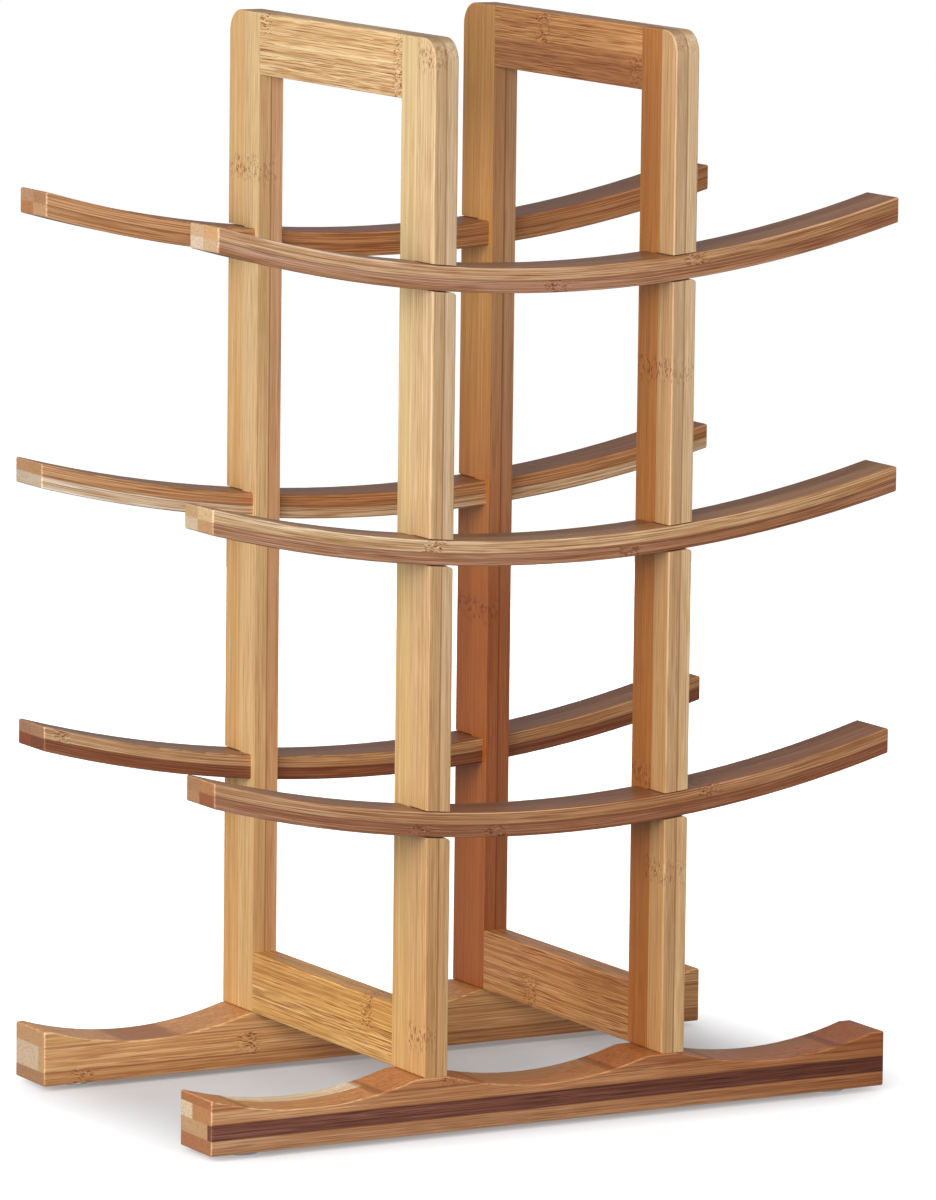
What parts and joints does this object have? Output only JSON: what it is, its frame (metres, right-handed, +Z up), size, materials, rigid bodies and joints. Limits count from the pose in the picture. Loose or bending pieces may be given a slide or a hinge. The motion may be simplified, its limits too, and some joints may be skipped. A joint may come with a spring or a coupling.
{
  "type": "wine rack",
  "caption": "Free-standing bamboo wine rack: two upright frames on two scalloped feet, with curved slats lapped into the posts to carry bottles lying on their sides.",
  "frame": {"origin": "on the floor at the middle of the rack, level with the pads' undersides", "axes": "+X along the slats and feet to the right, +Y from front to rear, +Z up"},
  "size_m": [0.303, 0.1686, 0.424],
  "materials": {
    "post_bamboo": "satin clear lacquer over laminated bamboo, grain upright",
    "rail_bamboo": "satin clear lacquer over laminated bamboo, grain front to rear",
    "slat_bamboo": "satin clear lacquer over bent bamboo in two laminations",
    "foot_bamboo": "satin clear lacquer over laminated bamboo with a dark lamination",
    "dowel_wood": "plain turned beech",
    "screw_steel": "zinc plated",
    "clear_silicone": "clear soft silicone"
  },
  "bodies": {
    "root": {"front_foot": "foot_bamboo", "front_foot_screws": "screw_steel", "front_left_pad": "clear_silicone", "front_right_pad": "clear_silicone", "front_lower_slat": "slat_bamboo", "front_middle_slat": "slat_bamboo", "front_upper_slat": "slat_bamboo", "rear_foot": "foot_bamboo", "rear_foot_screws": "screw_steel", "rear_left_pad": "clear_silicone", "rear_right_pad": "clear_silicone", "rear_lower_slat": "slat_bamboo", "rear_middle_slat": "slat_bamboo", "rear_upper_slat": "slat_bamboo", "left_front_post": "post_bamboo", "left_rear_post": "post_bamboo", "left_top_rail": "rail_bamboo", "left_top_rail_dowels": "dowel_wood", "left_bottom_rail": "rail_bamboo", "left_bottom_rail_dowels": "dowel_wood", "right_front_post": "post_bamboo", "right_rear_post": "post_bamboo", "right_top_rail": "rail_bamboo", "right_top_rail_dowels": "dowel_wood", "right_bottom_rail": "rail_bamboo", "right_bottom_rail_dowels": "dowel_wood"}
  },
  "joints": []
}
